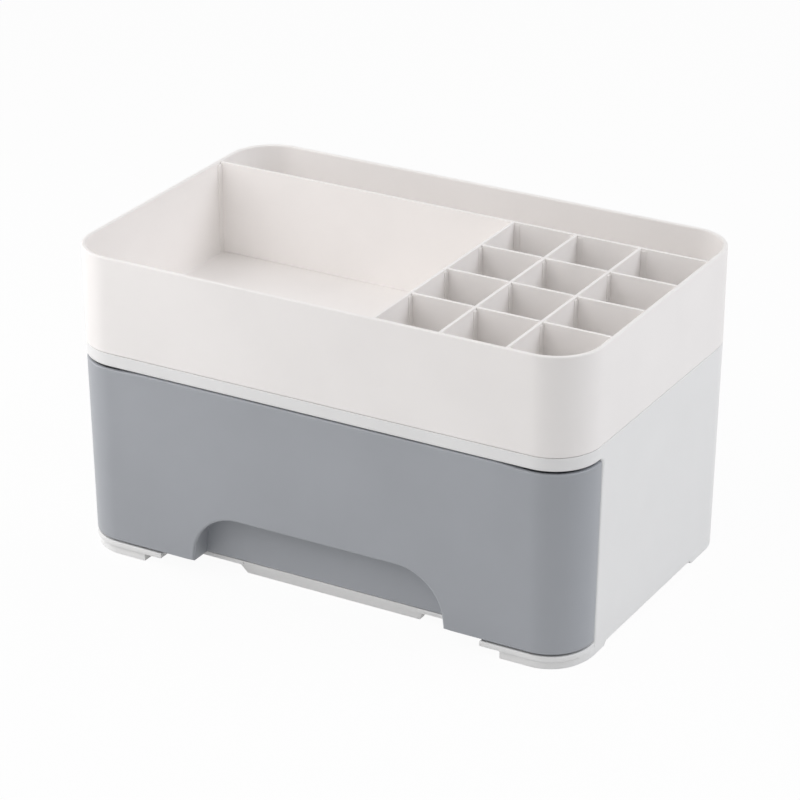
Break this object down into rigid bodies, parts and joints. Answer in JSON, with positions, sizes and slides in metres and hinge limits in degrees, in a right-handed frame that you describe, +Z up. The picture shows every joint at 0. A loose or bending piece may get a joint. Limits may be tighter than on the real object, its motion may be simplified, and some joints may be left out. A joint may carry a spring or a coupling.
{
  "type": "makeup box",
  "caption": "Desk-top makeup box with an open divided tray on top and a pull-out drawer below with an arched finger cut-out.",
  "frame": {"origin": "on the ground under the feet, in the middle of the outline", "axes": "+X to the right seen from the front, +Y to the rear, +Z up; the drawer pulls out along -Y"},
  "size_m": [0.26, 0.165, 0.15],
  "materials": {
    "tray_plastic": "satin",
    "cabinet_plastic": "satin",
    "drawer_plastic": "satin"
  },
  "bodies": {
    "cabinet": {"cabinet_shell": "cabinet_plastic"},
    "drawer": {"drawer_front": "drawer_plastic", "drawer_box": "drawer_plastic"},
    "tray": {"tray_shell": "tray_plastic"},
    "divider": {"long_divider": "tray_plastic"},
    "lattice": {"lengthwise_slat_1": "tray_plastic", "lengthwise_slat_2": "tray_plastic", "lengthwise_slat_3": "tray_plastic", "cross_slat_1": "tray_plastic", "cross_slat_2": "tray_plastic", "cross_slat_3": "tray_plastic"}
  },
  "joints": [
    {"name": "drawer_slide", "type": "slide", "parent": "cabinet", "child": "drawer", "axis": [0, -1, 0], "range_m": [0, 0.12]},
    {"name": "tray_lift", "type": "slide", "parent": "cabinet", "child": "tray", "axis": [0, 0, 1], "range_m": [0, 0.06]},
    {"name": "divider_lift", "type": "slide", "parent": "tray", "child": "divider", "axis": [0, 0, 1], "range_m": [0, 0.05]},
    {"name": "lattice_lift", "type": "slide", "parent": "tray", "child": "lattice", "axis": [0, 0, 1], "range_m": [0, 0.05]}
  ]
}
